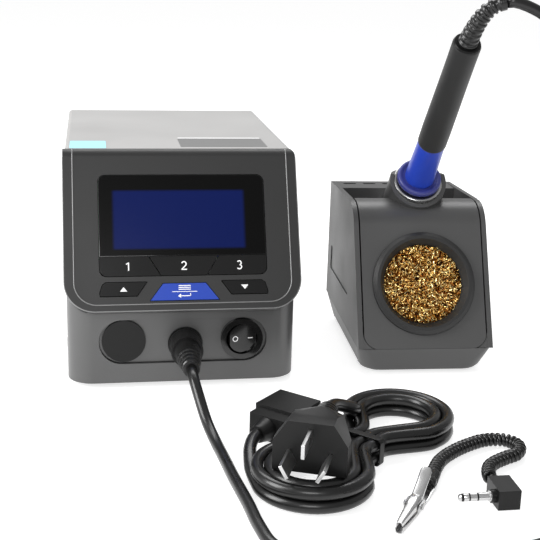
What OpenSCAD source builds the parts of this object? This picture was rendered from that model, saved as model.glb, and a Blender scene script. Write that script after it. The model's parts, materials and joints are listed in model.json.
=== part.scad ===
// Soldering iron station: control unit, holder stand with brass-wool cleaner,
// iron on its cable, detachable mains lead and curly ground lead.
// Millimetres, +Z up, +Y to the rear. Everything is drawn in the control
// unit's own axes (x across, y back from the lower front face, z from the
// table) and moved to the part origin only in the last lines.

/* [Control unit] */
// Width of the lower front moulding
body_w = 124; // [120:0.5:130]
// Depth from lower front face to rear panel
body_d = 180; // [170:1:200]
// Height of the top cover above the table
body_h = 125.3; // [123:0.1:128]
// Width of the folded top cover
cover_w = 123.3; // [122:0.1:123.6]
// Radius of the lower vertical front corners
corner_r = 14; // [8:1:16]
// Sheet thickness of cover and chassis
sheet_t = 1.2; // [1:0.1:1.5]

/* [Front panel] */
// Half width of the display window and key block
win_x = 44.2; // [42:0.1:46]
// Travel left under each key
key_travel = 0.8; // [0.4:0.1:0.9]
// Radius of the round switch bezel
switch_r = 11.5; // [11:0.1:12]
// Radius of the blank cap on the left
cap_r = 12; // [11:0.1:12]

/* [Stand] */
// Outer width of the stand
stand_w = 77.4; // [76:0.1:80]
// Depth of the stand
stand_d = 110; // [108:1:116]
// Height of the rear rim
rim_h = 90; // [88:0.5:92]
// Outer radius of the cleaner ring
ring_r = 29.4; // [28:0.1:30]

/* [Iron] */
// Diameter of the grip at its lower end
grip_d = 16; // [15:0.1:17]
// Length from flange to the end of the grip
grip_end = 112; // [108:1:114]
// Diameter of the blue flange
flange_d = 25.8; // [24:0.1:26]

/* [Leads] */
// Diameter of the iron's cable
cable_d = 5.5; // [5:0.1:6]
// Diameter of the mains cord
cord_d = 6.2; // [6:0.1:6.4]
// Outer diameter of the curly ground lead
curl_d = 7; // [6:0.5:7]

/* [Hidden] */
$fn = 48;

// Part origin: centre of the footprint of everything but the loose leads.
org = [58.65, 66.75];
hw = body_w / 2;

// Front panel plane: its lower edge, its slope and its upper roll-over.
panel_y0 = -10;
panel_z0 = 47;
panel_a = 64;             // angle of the panel from horizontal
pc = cos(panel_a);
ps = sin(panel_a);
roll_r = 6;
panel_l = (body_h - panel_z0) / ps;
roll_y = panel_y0 + panel_l * pc + roll_r * tan(panel_a / 2);
roll_z = body_h - roll_r;
seam_y = 32;

// Stand frame, iron axis and front plate of the stand.
stand_x = 136.7;
stand_y = 2.5;
stand_yaw = 2.6;
iron_p = [1, 42.5, 105.8];
iron_a = 42.5;
plate_a = 25.7;
plate_p = [0, -2, 17.2];
crest = [46, 73.2];
crest_r = 19;
sw = stand_w / 2;

// ---------------------------------------------------------------- helpers
// Extrudes a (y, z) outline across x, centred.
module across(w) rotate([90, 0, 90]) translate([0, 0, -w / 2]) linear_extrude(w) children();
module panel_frame() translate([0, panel_y0, panel_z0]) rotate([panel_a, 0, 0]) children();
module stand_frame() translate([stand_x, stand_y, 0]) rotate([0, 0, -stand_yaw]) children();
module iron_frame() stand_frame() translate(iron_p) rotate([iron_a, 0, 0]) children();
module plate_frame() stand_frame() translate(plate_p) rotate([90 - plate_a, 0, 0]) children();
module rrect(w, h, r) {
  square([w - 2 * r, h], center = true);
  square([w, h - 2 * r], center = true);
  for (sx = [-1, 1], sy = [-1, 1]) translate([sx * (w / 2 - r), sy * (h / 2 - r)]) circle(r);
}
module stadium(w, h) {
  square([w - h, h], center = true);
  for (s = [-1, 1]) translate([s * (w - h) / 2, 0]) circle(h / 2);
}
module ring(r1, r0, h) difference() { cylinder(r = r1, h = h); translate([0, 0, -1]) cylinder(r = r0, h = h + 2); }

// Smooth route through hand-set points, and a round tube along a route.
function cr(a, b, c, d, t) = 0.5 * ((2 * b) + (c - a) * t + (2 * a - 5 * b + 4 * c - d) * t * t + (3 * b - a - 3 * c + d) * t * t * t);
function smooth(p, n) = concat([for (i = [0:len(p) - 2], k = [0:n - 1])
    cr(p[max(i - 1, 0)], p[i], p[i + 1], p[min(i + 2, len(p) - 1)], k / n)], [p[len(p) - 1]]);
function unit(v) = v / norm(v);
function tang(p, i) = unit(p[min(i + 1, len(p) - 1)] - p[max(i - 1, 0)]);
function side0(t) = unit(cross(t, abs(t[2]) < 0.9 ? [0, 0, 1] : [1, 0, 0]));
function norms(p, i = 0, acc = []) = i == len(p) ? acc :
  norms(p, i + 1, concat(acc, [let (t = tang(p, i), n = i == 0 ? side0(t) : acc[i - 1]) unit(n - (n * t) * t)]));
module tube(p, r, sides = 10) {
  ns = norms(p);
  m = len(p);
  pts = [for (i = [0:m - 1]) let (t = tang(p, i), n = ns[i], b = cross(t, n)) for (k = [0:sides - 1])
      p[i] + r * (cos(360 * k / sides) * n + sin(360 * k / sides) * b)];
  faces = concat([[for (k = [0:sides - 1]) k]],
    [for (i = [0:m - 2], k = [0:sides - 1]) let (a = i * sides + k, b = i * sides + (k + 1) % sides)
        [a, a + sides, b + sides]],
    [for (i = [0:m - 2], k = [0:sides - 1]) let (a = i * sides + k, b = i * sides + (k + 1) % sides)
        [a, b + sides, b]],
    [[for (k = [0:sides - 1]) m * sides - 1 - k]]);
  polyhedron(points = pts, faces = faces, convexity = 6);
}

// ------------------------------------------------------- front moulding
// Region behind the panel surface set back by o, in (y, z).
module behind_panel(o) {
  intersection() {
    union() {
      polygon([[panel_y0 + o * ps - 14 * pc, panel_z0 - o * pc - 14 * ps],
        [roll_y - (roll_r - o) * ps, roll_z + (roll_r - o) * pc],
        [roll_y, roll_z], [roll_y, body_h - o], [seam_y, body_h - o], [seam_y, panel_z0 - o * pc - 14 * ps]]);
      translate([roll_y, roll_z]) circle(roll_r - o);
    }
    translate([-30, 0]) square([seam_y + 30, 200]);
  }
}
// Outline of the sloping slab in its own plane, bottom corners r.
module slab_outline(x, u0, r) {
  translate([-x, u0 + r]) square([2 * x, 120]);
  translate([-x + r, u0]) square([2 * x - 2 * r, 40]);
  for (s = [-1, 1]) translate([s * (x - r), u0 + r]) circle(r);
}
module fh_outer() {
  // body behind the slab, with round vertical corners
  intersection() {
    across(body_w) polygon([[0, 3], [seam_y, 3], [seam_y, body_h - 1.8], [seam_y - 1, body_h - 3.3], [0, 58.4]]);
    linear_extrude(130) union() {
      translate([-hw, corner_r]) square([body_w, seam_y]);
      translate([-hw + corner_r, 0]) square([body_w - 2 * corner_r, seam_y]);
      for (s = [-1, 1]) translate([s * (hw - corner_r), corner_r]) circle(corner_r);
    }
  }
  // sloping slab
  intersection() {
    across(body_w + 1.4) intersection() {
      behind_panel(0);
      translate([panel_y0, panel_z0]) rotate(panel_a) translate([-30, -9]) square([150, 20]);
    }
    panel_frame() translate([0, 0, -30]) linear_extrude(60) slab_outline(hw + 0.7, 0, 16);
    rotate([90, 0, 0]) translate([0, body_h - 62.8, -60]) linear_extrude(100) rrect(body_w + 1.4, 125.6, 3);
  }
}
module front_housing() color([0.42, 0.43, 0.42]) difference() {
  fh_outer();
  // hollow inside, open to the rear
  intersection() {
    across(body_w - 5) polygon([[2.5, 5.5], [40, 5.5], [40, 138.1], [2.5, 61.2]]);
    linear_extrude(150) union() {
      translate([-hw + 2.3, 15.8]) square([body_w - 4.6, seam_y]);
      translate([-46.2, 2.3]) square([92.4, seam_y]);
      for (s = [-1, 1]) translate([s * (hw - 16.3), 16.3]) circle(14);
    }
  }
  // pocket for the panel plate, and the opening behind it
  intersection() {
    across(115.4) difference() { behind_panel(-1.5); behind_panel(2.6); }
    panel_frame() translate([0, 0, -30]) linear_extrude(60) slab_outline(57.7, 3.3, 12);
  }
  panel_frame() translate([-53, 6.4, -14]) cube([106, 68.6, 20]);
  // stadium port in the lower face
  translate([0, -1, 26.2]) rotate([-90, 0, 0]) linear_extrude(6) stadium(90.6, 24.9);
  // vent slots underneath
  for (i = [-3:3]) translate([i * 12 - 1.5, 12, 2]) cube([3, 14, 6]);
}
// Sheet that follows the panel's slope and its roll-over, as one outline.
function roll_arc(r, n, flip) = [for (i = [0:n]) let (a = 90 + (90 - (90 - panel_a)) * (flip ? i : n - i) / n)
    [roll_y + r * cos(a), roll_z + r * sin(a)]];
module panel_plate() color([0.3, 0.31, 0.3]) {
  panel_plate_sheet();
  panel_frame() for (x = [-49.5, 49.5], u = [12, 70]) translate([x, u, -6.8]) cylinder(r = 2, h = 5);
}
module panel_plate_sheet() difference() {
  intersection() {
    across(114.8) polygon(concat([[panel_y0, panel_z0]], roll_arc(roll_r, 12, false), roll_arc(roll_r - 2.5, 12, true),
      [[panel_y0 + 2.5 * ps, panel_z0 - 2.5 * pc]]));
    panel_frame() translate([0, 0, -30]) linear_extrude(60) slab_outline(57.4, 3.6, 11.7);
  }
  panel_frame() translate([0, 0, -5]) linear_extrude(10) {
    // window with the three preset keys under it
    translate([0, 45.8]) rrect(2 * win_x + 0.7, 55.2, 4);
    offset_key(0.35) up_outline();
    mirror([1, 0]) offset_key(0.35) up_outline();
    menu_outline(0.35);
  }
}
// Key outlines in panel coordinates.
module up_outline() polygon([[-41.2, 15.2], [-19.8, 15.2], [-25, 8], [-44, 8], [-44.3, 9.4], [-42.9, 14]]);
module offset_key(o) {
  children();
  for (a = [0:45:315]) translate([o * cos(a), o * sin(a)]) children();
}
module menu_outline(o) polygon([[-11.2 - o * 0.6, 14.2 + o], [11.2 + o * 0.6, 14.2 + o], [18 + o * 1.9, 5.3 - o], [-18 - o * 1.9, 5.3 - o]]);
module preset_zone() translate([0, 45.8]) rrect(2 * win_x, 54.6, 3.8);
module key_stem(x, u) translate([x, u, -4.0]) cylinder(r = 2.6, h = 2.2);
module key_1() color([0.09, 0.09, 0.09]) panel_frame() {
  translate([0, 0, -2]) linear_extrude(2.2) intersection() {
    preset_zone();
    polygon([[-50, 10], [-12.6, 10], [-12.6, 18.5], [-18.8, 28.9], [-50, 28.9]]);
  }
  key_stem(-29.4, 23.6);
}
module key_2() color([0.09, 0.09, 0.09]) panel_frame() {
  translate([0, 0, -2]) linear_extrude(2.2) polygon([[-18.2, 28.9], [18.2, 28.9], [12, 18.5], [-12, 18.5]]);
  key_stem(0, 23.6);
}
module key_3() mirror([1, 0, 0]) key_1();
module key_up() color([0.1, 0.1, 0.1]) panel_frame() {
  translate([0, 0, -2]) linear_extrude(2.3) up_outline();
  key_stem(-32, 11.6);
}
module key_down() mirror([1, 0, 0]) key_up();
module key_menu() color([0.1, 0.3, 0.8]) panel_frame() {
  translate([0, 0, -1.7]) linear_extrude(2) menu_outline(0);
  translate([0, 9.7, -4]) cylinder(r = 2.6, h = 2.5);
}
module display_window() color([0.03, 0.03, 0.03]) panel_frame() translate([0, 0, -2.1]) linear_extrude(2.1) difference() {
  intersection() { preset_zone(); translate([-60, 29.2]) square([120, 60]); }
  translate([-1.8, 49]) square([69, 31.8], center = true);
}
module lcd_module() color([0.05, 0.08, 0.35]) panel_frame() {
  translate([-1.8, 49, -6.6]) linear_extrude(4.4) square([76, 40], center = true);
  translate([-1.8, 49, -2.2]) linear_extrude(0.5) square([68.6, 31.4], center = true);
}
module display_board() color([0.05, 0.3, 0.15]) panel_frame() translate([0, 41, -8.4]) linear_extrude(1.6) square([104, 66], center = true);
module key_mat() color([0.55, 0.55, 0.55]) panel_frame() {
  translate([-46, 6.6, -6.6]) cube([92, 21.8, 1]);
  for (p = [[-29.4, 23.6], [0, 23.6], [29.4, 23.6], [-32, 11.6], [32, 11.6], [0, 9.7]])
    translate([p[0], p[1], -5.6]) cylinder(r = 3, h = 0.6);
}

// ------------------------------------------------ lower port plate and parts
sock = [1, 24.2];
swx = 31.6;
capx = -32;
port_z = 26.6;
module front_axis(x, z, y = 0) translate([x, y, z]) rotate([90, 0, 0]) children();
module port_plate() color([0.4, 0.41, 0.4]) difference() {
  union() {
    translate([0, 1.7, 26.2]) rotate([-90, 0, 0]) linear_extrude(2.8) stadium(89.8, 24.1);
    translate([0, 2.5, 26.2]) rotate([-90, 0, 0]) linear_extrude(2) rrect(98, 34, 6);
  }
  front_axis(sock[0], sock[1], 10) cylinder(r = 7.6, h = 20);
  front_axis(swx, port_z, 10) cylinder(r = 10, h = 20);
  front_axis(capx, port_z, 10) cylinder(r = 8, h = 20);
}
module blank_cap() color([0.18, 0.18, 0.18]) {
  front_axis(capx, port_z, 1.7) cylinder(r = cap_r - 0.3, h = 1.5);
  front_axis(capx, port_z, 7) ring(7.95, 6.6, 5.3);
  front_axis(capx, port_z, 2.5) cylinder(r = 7.95, h = 0.8);
}
module iron_socket() color([0.2, 0.2, 0.2]) {
  front_axis(sock[0], sock[1], 1.7) ring(9.4, 7, 1.2);
  front_axis(sock[0], sock[1], 16) difference() {
    cylinder(r = 7.55, h = 14.3);
    translate([0, 0, 4]) cylinder(r = 6.9, h = 20);
  }
  front_axis(sock[0], sock[1], 12) cylinder(r = 1.6, h = 4);
}
module switch_housing() color([0.06, 0.06, 0.06]) difference() {
  union() {
    front_axis(swx, port_z, 1.7) cylinder(r = switch_r, h = 2.9);
    front_axis(swx, port_z, 15) cylinder(r = 9.95, h = 13.4);
    for (s = [-1, 1]) front_axis(swx + 4.5 * s, port_z, 21) translate([-0.4, -3, 0]) cube([0.8, 6, 6.2]);
  }
  front_axis(swx, port_z, 9) cylinder(r = 8.6, h = 20);
  translate([swx, 4, port_z - 9.5]) cylinder(r = 1.05, h = 19);
}
module switch_rocker() color([0.05, 0.05, 0.05]) {
  intersection() {
    translate([swx, 4, 0]) rotate([0, 0, 10]) difference() {
      translate([0, 1, port_z]) rotate([90, 0, 0]) cylinder(r = 8, h = 5.4);
      // slightly hollow front
      translate([0, -64.0, port_z - 20]) cylinder(r = 60.2, h = 40, $fn = 120);
    }
    translate([swx, 4, port_z - 20]) cylinder(r = 8.5, h = 40);
  }
  translate([swx, 4, port_z - 9.3]) cylinder(r = 1, h = 18.6);
}

// ------------------------------------------------------- metal case
module top_cover() color([0.78, 0.78, 0.77]) difference() {
  translate([0, body_d - 0.4, 0]) rotate([90, 0, 0]) linear_extrude(body_d - 0.4 - seam_y) difference() {
    translate([0, (body_h + 4) / 2]) union() {
      rrect(cover_w, body_h - 4, 2.5);
      translate([0, -(body_h - 4) / 4]) square([cover_w, (body_h - 4) / 2], center = true);
    }
    translate([0, (body_h - sheet_t + 4) / 2]) union() {
      rrect(cover_w - 2 * sheet_t, body_h - 4 - sheet_t, 1.3);
      translate([0, -20]) square([cover_w - 2 * sheet_t, body_h - 40], center = true);
    }
  }
  for (i = [0:9]) translate([-100, 92 + i * 7.5, 18]) cube([200, 3, 26]);
  for (s = [-1, 1], y = [48, 164]) translate([s * 62, y, 10]) rotate([0, 90, 0]) cylinder(r = 1.6, h = 6, center = true);
}
module base_chassis() color([0.5, 0.5, 0.5]) difference() {
  union() {
    translate([-60.2, seam_y + 0.2, 4]) cube([120.4, body_d - seam_y - 2.2, sheet_t]);
    for (s = [-1, 1]) translate([s * 59.6 - 0.6, seam_y + 0.2, 4]) cube([sheet_t, body_d - seam_y - 2.2, 12]);
    // tabs to the front moulding
    for (s = [-1, 1]) translate([s * 40 - 8, 10, 5.6]) cube([16, 24, sheet_t]);
    for (s = [-1, 1]) translate([s * 40 - 8, seam_y + 0.2, 4]) cube([16, 2, 2.8]);
    // standoffs under the main board
    for (x = [-47, 11], y = [47, 133]) translate([x, y, 5]) cylinder(r = 2.8, h = 7);
  }
  for (x = [-47, 11], y = [47, 133]) translate([x, y, 3]) cylinder(r = 1.3, h = 12);
  for (s = [-1, 1], y = [48, 164]) translate([s * 60, y, 10]) rotate([0, 90, 0]) cylinder(r = 1.25, h = 6, center = true);
  for (i = [-4:4]) translate([i * 10 - 1.5, 90, 3]) cube([3, 40, 4]);
}
module rear_panel() color([0.45, 0.45, 0.45]) difference() {
  translate([-60.3, body_d - 1.9, 5.3]) cube([120.6, 1.5, body_h - 6.8]);
  translate([-32, body_d - 6, 31.5]) cube([29, 10, 33.6]);
  translate([32, body_d + 5, 34]) rotate([90, 0, 0]) cylinder(r = 3.6, h = 12);
  for (i = [0:7], j = [0:2]) translate([-26 + i * 8, body_d - 6, 78 + j * 13]) cube([3, 10, 9]);
}
module main_board() color([0.05, 0.3, 0.15]) difference() {
  translate([-52, 42, 12]) cube([68, 96, 1.6]);
  for (x = [-47, 11], y = [47, 133]) translate([x, y, 5]) cylinder(r = 1.6, h = 12);
}
module board_capacitors() color([0.1, 0.12, 0.3]) {
  for (p = [[-40, 60, 8, 26], [-20, 60, 8, 26], [-42, 84, 5, 16], [-30, 84, 5, 16], [4, 56, 5, 14]])
    translate([p[0], p[1], 13.6]) cylinder(r = p[2], h = p[3]);
}
module heat_sink() color([0.7, 0.7, 0.72]) translate([-46, 104, 13.6]) {
  cube([52, 3, 36]);
  for (i = [0:8]) translate([i * 6, 3, 0]) cube([1.6, 16, 36]);
}
module transformer_core() color([0.35, 0.33, 0.32]) translate([20.5, 86, 5.2]) difference() {
  cube([36, 66, 56]);
  translate([-1, 11, 10]) cube([38, 13, 36]);
  translate([-1, 42, 10]) cube([38, 13, 36]);
}
module transformer_coil() color([0.75, 0.45, 0.15]) translate([38.5, 119, 33.2]) difference() {
  cube([40, 43.6, 35.6], center = true);
  cube([36.2, 18.2, 60], center = true);
}
module mains_inlet() color([0.05, 0.05, 0.05]) difference() {
  union() {
    translate([-34, body_d - 0.4, 29.6]) cube([33, 2.6, 37.4]);
    translate([-31.8, body_d - 19.4, 31.7]) cube([28.6, 19.2, 33.2]);
  }
  // connector cavity
  translate([-17.5, body_d + 6, 54]) rotate([90, 0, 0]) linear_extrude(20) intersection() {
    square([24.4, 16.6], center = true);
    rotate(45) square([28.4, 28.4], center = true);
  }
  // fuse drawer slot
  translate([-28.6, body_d - 17.4, 33]) cube([22.2, 30, 8]);
}
module inlet_pins() color([0.75, 0.75, 0.7]) for (p = [[-24.5, 52], [-17.5, 56], [-10.5, 52]])
  translate([p[0] - 1, body_d - 27.4, p[1] - 2]) cube([2, 23.4, 4]);
module fuse_drawer() color([0.08, 0.08, 0.08]) difference() {
  union() {
    translate([-28.3, body_d - 16.8, 33.3]) cube([21.6, 19.4, 7.4]);
    translate([-29.5, body_d + 2.5, 32.3]) cube([24, 1.6, 9.4]);
  }
  translate([-27.6, body_d - 15.8, 34.9]) cube([20.2, 8, 6.8]);
  translate([-20, body_d + 3.3, 35]) cube([5, 2, 4]);
}
module fuse() color([0.85, 0.85, 0.85]) translate([-27.4, body_d - 11.8, 37.6]) rotate([0, 90, 0]) {
  cylinder(r = 2.5, h = 19.8);
}
module ground_jack() color([0.8, 0.8, 0.78]) translate([32, body_d, 34]) rotate([-90, 0, 0]) difference() {
  union() {
    translate([0, 0, -12]) cylinder(r = 3.55, h = 14.5);
    translate([0, 0, -0.4]) cylinder(r = 5.4, h = 1.8);
    translate([0, 0, -4.2]) cylinder(r = 5.2, h = 2.3, $fn = 6);
  }
  translate([0, 0, -10]) cylinder(r = 1.8, h = 16);
}
module station_feet() color([0.05, 0.05, 0.05]) {
  for (x = [-46, 46]) translate([x, 20, 0]) cylinder(r = 6, h = 3);
  for (x = [-46, 46]) translate([x, 164, 0]) { cylinder(r = 6, h = 4); }
}
module cover_screws() color([0.2, 0.2, 0.2]) for (s = [-1, 1], y = [48, 164]) translate([s * 61.65, y, 10]) rotate([0, s * 90, 0]) {
  difference() {
    cylinder(r = 2.9, h = 1.4);
    translate([0, 0, 0.8]) { cube([4, 0.8, 3], center = true); cube([0.8, 4, 3], center = true); }
  }
  translate([0, 0, -4.5]) cylinder(r = 1.2, h = 4.5);
}

// ------------------------------------------------------------- stand
// Filled side profile of the stand's sloping front and rounded crest, set in by o.
function crest_arc(r, n) = [for (i = [0:n]) let (a = 180 - plate_a - (90 - plate_a) * i / n)
    [crest[0] + r * cos(a), crest[1] + r * sin(a)]];
module crest_profile(o, back) polygon(concat(
  [[plate_p[1] + o * cos(plate_a) - 4 * sin(plate_a), plate_p[2] - o * sin(plate_a) - 4 * cos(plate_a)]],
  crest_arc(crest_r - o, 16),
  [[back, crest[1] + crest_r - o], [back, plate_p[2] - o * sin(plate_a) - 4 * cos(plate_a)]]));
module stand_wall_profile() {
  intersection() { crest_profile(0, 46); translate([-20, plate_p[2]]) square([200, 200]); }
  polygon([[40, plate_p[2]], [stand_d, plate_p[2]], [stand_d, rim_h], [50, crest[1] + crest_r], [40, crest[1] + crest_r - 1]]);
}
module stand_body() color([0.5, 0.5, 0.49]) stand_frame() difference() {
  union() {
    for (s = [-1, 1]) translate([s * (sw - 1.4), 0, 0]) across(2.8) stand_wall_profile();
    translate([-sw + 1, stand_d - 3, plate_p[2]]) cube([stand_w - 2, 3, rim_h - plate_p[2]]);
    translate([-sw + 1, 89, rim_h - 3]) cube([stand_w - 2, stand_d - 90, 3]);
    translate([-sw + 1, 89, 64]) cube([stand_w - 2, 2.4, rim_h - 65]);
    // gussets that close the corners beside the cover's rounded lower edge
    intersection() {
      translate(plate_p) rotate([90 - plate_a, 0, 0]) translate([0, 0, -3.6]) linear_extrude(3.2) for (s = [-1, 1]) difference() {
        translate([s * 31.4 - 5.2, -0.6]) square([10.4, 9.2]);
        translate([s * 26.3, 8.8]) circle(9.3);
      }
      translate([-60, -60, plate_p[2]]) cube([120, 160, 100]);
    }
    // screw posts
    for (s = [-1, 1], y = [16, 98]) translate([s * 32.6, y, plate_p[2]]) cylinder(r = 3.6, h = y < 50 ? 9 : 14);
  }
  // slots for spare tips in the rear rim
  for (x = [-28, -15.5, -3, 9.5, 22]) translate([x, 102.5, rim_h - 6]) linear_extrude(10) stadium(8.4, 3.2);
  // plain shallow panel on each side wall
  for (s = [-1, 1]) translate([s * (sw + 0.1), 69, 43.5]) rotate([90, 0, 90]) translate([0, 0, -0.6]) linear_extrude(1.2) rrect(60, 15, 2);
  // passage for the holder tube
  translate(iron_p) rotate([iron_a, 0, 0]) translate([0, 0, -90]) cylinder(r = 14.6, h = 80);
  for (s = [-1, 1], y = [16, 98]) translate([s * 32.6, y, plate_p[2] - 1]) cylinder(r = 1.25, h = 9);
}
module stand_cover() color([0.32, 0.33, 0.32]) stand_frame() difference() {
  union() {
    difference() {
      intersection() {
        across(70.2) difference() {
          crest_profile(0, 50);
          crest_profile(3, 47);
        }
        union() {
          // rounded lower corners
          intersection() {
            translate(plate_p) rotate([90 - plate_a, 0, 0]) translate([0, 0, -8]) linear_extrude(9) slab_outline(35.3, -0.2, 9);
            translate([-60, -60, plate_p[2]]) cube([120, 160, 100]);
          }
          translate([-60, 20, plate_p[2] + 40]) cube([120, 60, 60]);
        }
      }
      translate([-60, 40, 0]) cube([120, 20, 67]);
    }
    // collar for the iron
    intersection() {
      translate(iron_p) rotate([iron_a, 0, 0]) difference() {
        translate([0, 0, -26]) cylinder(r = 16.5, h = 30);
        translate([0, 0, -2.8]) rotate([11, 0, 0]) translate([-50, -50, 0]) cube([100, 100, 60]);
      }
      difference() {
        translate([-60, 20, 70]) cube([120, 80, 37.2]);
        across(100) translate([-0.5, -0.5]) crest_profile(2, 49);
      }
    }
  }
  translate(iron_p) rotate([iron_a, 0, 0]) translate([0, 0, -60]) cylinder(r = 14.2, h = 80);
  // opening for the cleaner cup
  translate(plate_p) rotate([90 - plate_a, 0, 0]) translate([0, 37, -6]) cylinder(r = 27.4, h = 12);
}
module stand_base() color([0.4, 0.41, 0.4]) stand_frame() difference() {
  intersection() {
    hull() {
      translate([0, stand_d / 2 - 1, plate_p[2] - 0.5]) linear_extrude(0.4) rbase(stand_w, stand_d + 2, 6);
      translate([0, stand_d / 2 + 1.5, 2.5]) linear_extrude(0.4) rbase(stand_w - 9, stand_d - 5, 11);
      translate([0, stand_d / 2 + 1, 4.5]) linear_extrude(0.4) rbase(stand_w - 7, stand_d - 3, 10);
    }
    translate([-60, -60, 0]) cube([200, 200, 17.1]);
  }
  translate([-29.5, 9, 5]) cube([59, 92, 20]);
  for (s = [-1, 1], y = [16, 98]) translate([s * 32.6, y, 0]) { translate([0, 0, 1]) cylinder(r = 2.8, h = 4.4); cylinder(r = 1.3, h = 20); }
}
module rbase(w, h, r) {
  square([w - 2 * r, h], center = true);
  square([w, h - 2 * r], center = true);
  for (sx = [-1, 1], sy = [-1, 1]) translate([sx * (w / 2 - r), sy * (h / 2 - r)]) circle(r, $fn = 32);
}
module ballast_plate() color([0.55, 0.55, 0.56]) stand_frame() translate([-29, 10, 5]) cube([58, 90, 5]);
module stand_feet() color([0.05, 0.05, 0.05]) stand_frame() for (s = [-1, 1], y = [16, 98]) translate([s * 24, y, 0]) cylinder(r = 5.5, h = 2.5);
module stand_screws() color([0.6, 0.6, 0.6]) stand_frame() for (s = [-1, 1], y = [16, 98]) translate([s * 32.6, y, 0]) {
  translate([0, 0, 3.4]) cylinder(r = 2.6, h = 2);
  translate([0, 0, 5]) cylinder(r = 1.2, h = 19);
}
module holder_tube() color([0.6, 0.6, 0.6]) iron_frame() {
  translate([0, 0, -7]) ring(14.1, 12.6, 3.4);
  translate([0, 0, -76]) difference() {
    cylinder(r = 13.4, h = 69.2);
    translate([0, 0, 1.5]) cylinder(r = 12.6, h = 80);
  }
}
module cleaner_cup() color([0.1, 0.1, 0.1]) plate_frame() translate([0, 37, 0]) difference() {
  union() {
    translate([0, 0, 0.15]) cylinder(r = ring_r, h = 2.2);
    translate([0, 0, 2.35]) cylinder(r1 = ring_r - 0.2, r2 = ring_r - 2.2, h = 1.5);
    translate([0, 0, -36]) cylinder(r = 27, h = 37);
  }
  translate([0, 0, -34]) cylinder(r = 25.4, h = 33);
  translate([0, 0, -1.1]) cylinder(r1 = 22.4, r2 = 25.6, h = 5.2);
}
module brass_wool() color([0.85, 0.62, 0.25]) plate_frame() translate([0, 37, 0]) {
  translate([0, 0, -33.8]) cylinder(r = 25.2, h = 31.6);
}

// -------------------------------------------------------------- iron
module iron_flange() color([0.16, 0.3, 0.85]) iron_frame() translate([0, 0, -2.2]) rotate_extrude() polygon([[5.2, 0], [flange_d / 2 - 1.4, 0],
  [flange_d / 2 - 0.3, 1], [flange_d / 2, 2.4], [flange_d / 2 - 0.5, 3.8], [flange_d / 2 - 1.8, 4.2], [9.2, 3.2], [5.2, 3.2]]);
module iron_nose() color([0.12, 0.3, 0.85]) iron_frame() rotate_extrude() polygon([[3.4, 1], [8.5, 1], [8.5, 4], [8.2, 12], [7.6, 33], [6.2, 33.4], [3.4, 33.4]]);
module iron_grip() color([0.12, 0.12, 0.12]) iron_frame() rotate_extrude() polygon([[6.2, 33.5], [grip_d / 2 - 0.3, 33.1], [grip_d / 2, 34.2], [grip_d / 2, 46],
  [7.5, 80], [7.3, 100], [7.3, grip_end - 1], [6.8, grip_end], [5.6, grip_end], [5.6, grip_end - 5], [3.4, grip_end - 5], [3.4, 33.5]]);
module iron_tip() color([0.75, 0.75, 0.75]) iron_frame() {
  translate([0, 0, -20]) cylinder(r = 5, h = 18);
  translate([0, 0, -2.2]) cylinder(r = 5, h = 3);
  translate([0, 0, -58]) cylinder(r = 3, h = 39);
  translate([0, 0, -70]) cylinder(r1 = 0.6, r2 = 3, h = 12);
  translate([0, 0, 0.5]) cylinder(r = 3.2, h = 60);
}
// Strain relief, bent to the right and forward.
boot_pts = [[1, -29.9, 184.8], [1, -33.2, 188.4], [1.6, -38.2, 193.9], [3, -42.3, 199.2], [5.5, -45.3, 204], [9.5, -47, 207.5], [14, -47.6, 208.9]];
module iron_boot() color([0.1, 0.1, 0.1]) stand_frame() {
  tube(smooth(boot_pts, 3), 5, 16);
}

// ------------------------------------------------------ iron cable
module iron_plug() color([0.08, 0.08, 0.08]) {
  front_axis(sock[0], sock[1], -0.1) ring(9, 3.2, 1.4);
  front_axis(sock[0], sock[1], -1.5) ring(8.6, 3.2, 10.5);
  front_axis(sock[0], sock[1], 11.6) cylinder(r = 6.7, h = 11.7);
  front_axis(sock[0], sock[1], 0) cylinder(r = 3.2, h = 12);
}
module plug_boot() color([0.08, 0.08, 0.08]) front_axis(sock[0], sock[1], -12) rotate_extrude() polygon([[0, 0], [7.4, 0], [7.2, 3],
  [6.6, 8], [6.2, 12], [5.6, 12.4], [5.6, 13.4], [6, 13.8], [5.8, 15.8], [5.2, 16.2], [5.2, 17.2], [5.5, 17.6], [5.3, 19.6], [4.7, 20], [4.7, 21], [5, 21.4], [4.8, 23.4], [4.2, 24], [4.2, 26], [0, 26]]);
// Cable from the iron down to the top of the coil, in stand axes then table.
coil_c = [200, -125];
coil_r = 28;
up_local = [[14.5, -47.6, 209], [19, -47.8, 209.1], [26, -48, 207], [34, -48, 203], [42, -48, 196], [48, -48, 186], [52, -48, 172]];
function st2w(p) = [stand_x + p[0] * cos(stand_yaw) + p[1] * sin(stand_yaw), stand_y - p[0] * sin(stand_yaw) + p[1] * cos(stand_yaw), p[2]];
up_pts = concat([for (p = up_local) st2w(p)], [[193, -48, 150], [196, -50, 120], [199, -54, 90], [204, -61, 60], [213, -72, 38], [222, -86, 25], [227, -105, 20], [228, -125, 19.5]]);
low_pts = [[200, -153, 2.8], [188, -153.5, 2.8], [176, -157, 2.8], [164, -165, 2.8], [150, -176, 2.8], [132, -186, 2.8], [108, -192, 2.8], [80, -195, 2.8],
  [54, -195, 2.8], [34, -189, 2.8], [22, -177, 2.8], [18, -160, 2.8], [16, -140, 2.8], [13, -116, 2.8], [11, -96, 2.8], [9, -80, 3.4], [6, -66, 8], [3, -54, 17], [1.2, -45, 23], [1, -38, 24.2]];
module iron_cable() color([0.1, 0.1, 0.1]) {
  tube(smooth(up_pts, 2), cable_d / 2, 8);
  tube(smooth(low_pts, 2), cable_d / 2, 8);
}
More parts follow.
